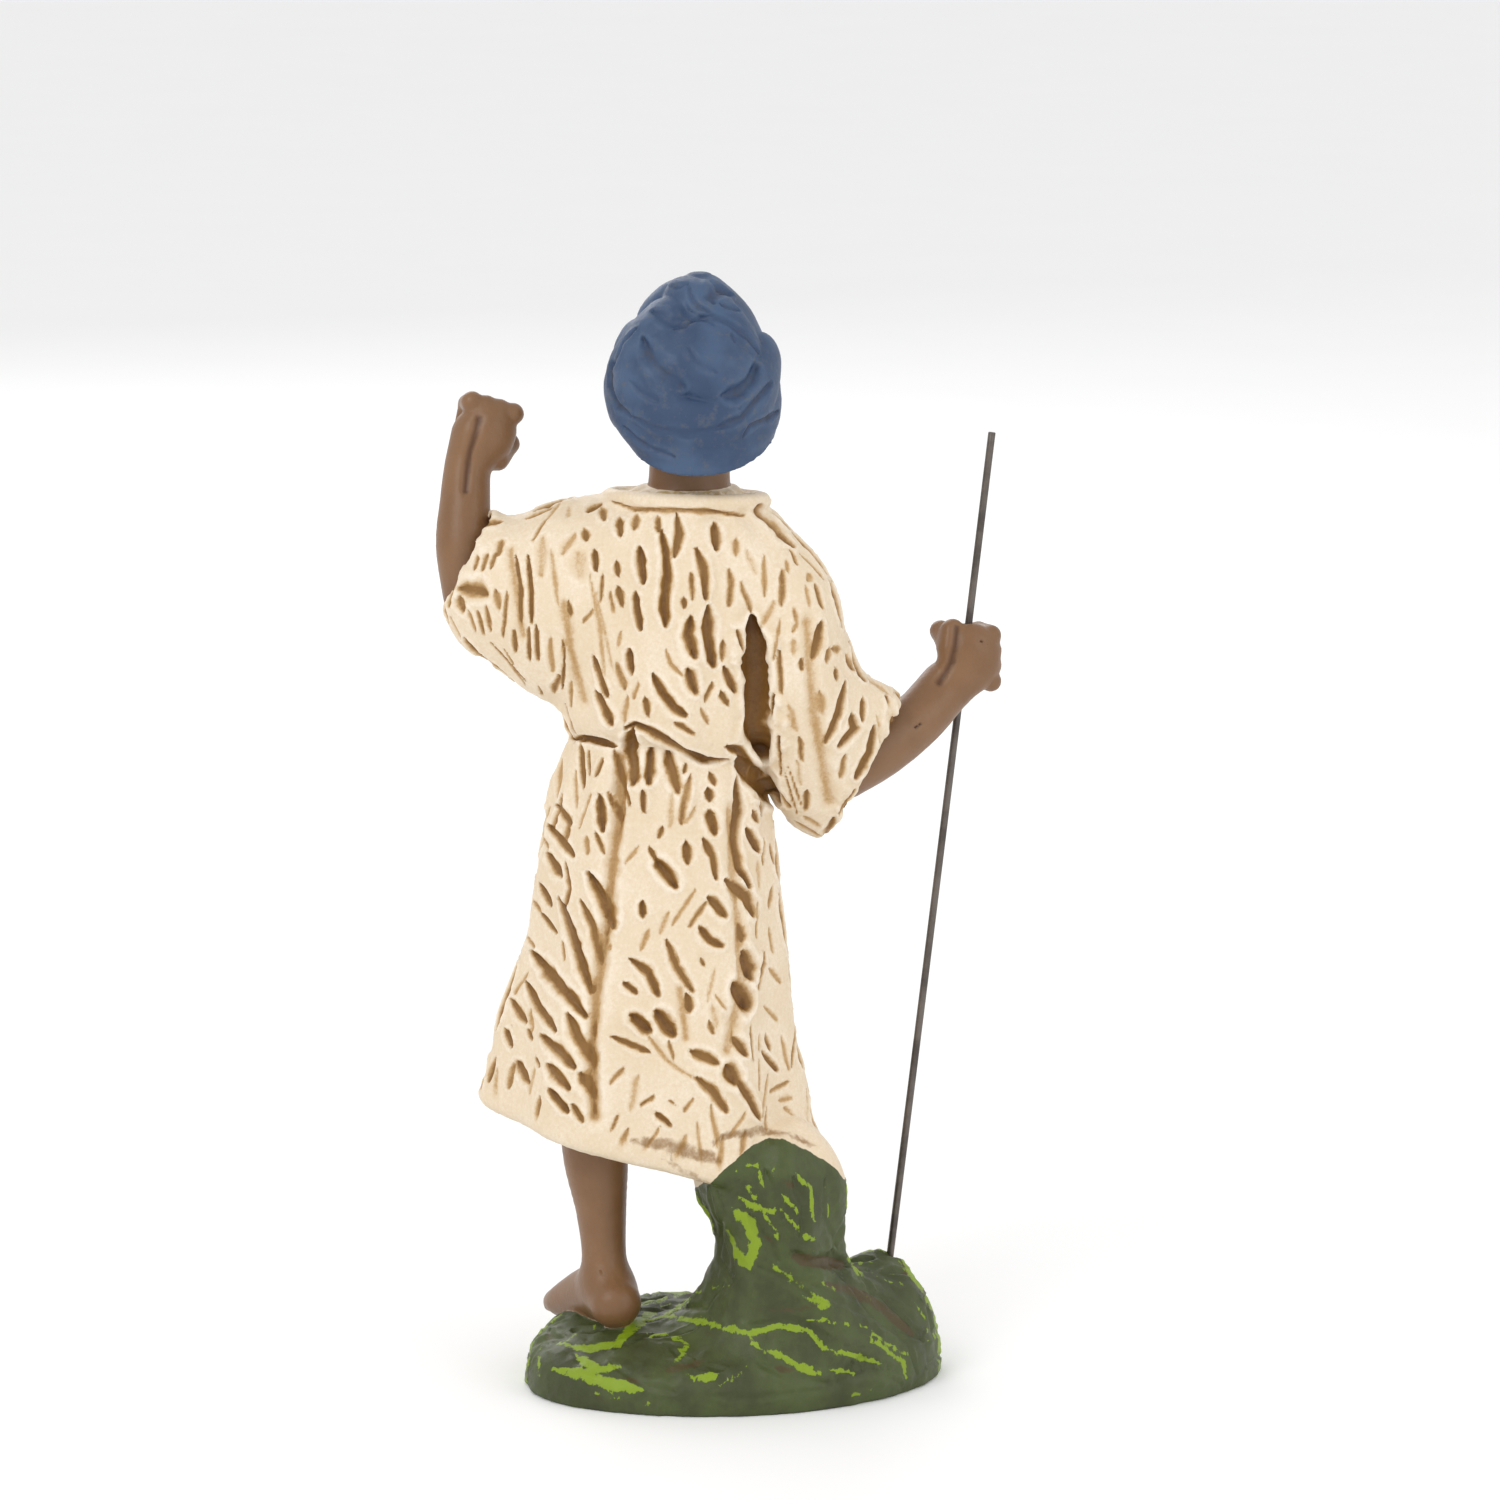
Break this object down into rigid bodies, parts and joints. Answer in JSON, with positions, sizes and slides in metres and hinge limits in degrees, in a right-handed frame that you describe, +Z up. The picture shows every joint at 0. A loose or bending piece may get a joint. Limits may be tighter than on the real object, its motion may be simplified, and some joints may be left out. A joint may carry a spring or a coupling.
{
  "type": "nativity shepherd figurine",
  "caption": "Cast and painted shepherd striding on a grassy mound, in a turban and a fleece tunic, one fist raised, the other round a thin wire staff.",
  "frame": {"origin": "middle of the mound's flat underside", "axes": "+Z up the standing figure, -Y the way its face looks, +X towards its raised left fist"},
  "size_m": [0.0605, 0.0349, 0.1203],
  "materials": {
    "painted_clay": "hard cast clay with satin paint: cream fleece washed with brown, brown skin, blue turban, green ground",
    "steel_wire": "dark drawn steel wire, slightly worn"
  },
  "bodies": {
    "root": {"figure": "painted_clay", "staff": "steel_wire"}
  },
  "joints": []
}
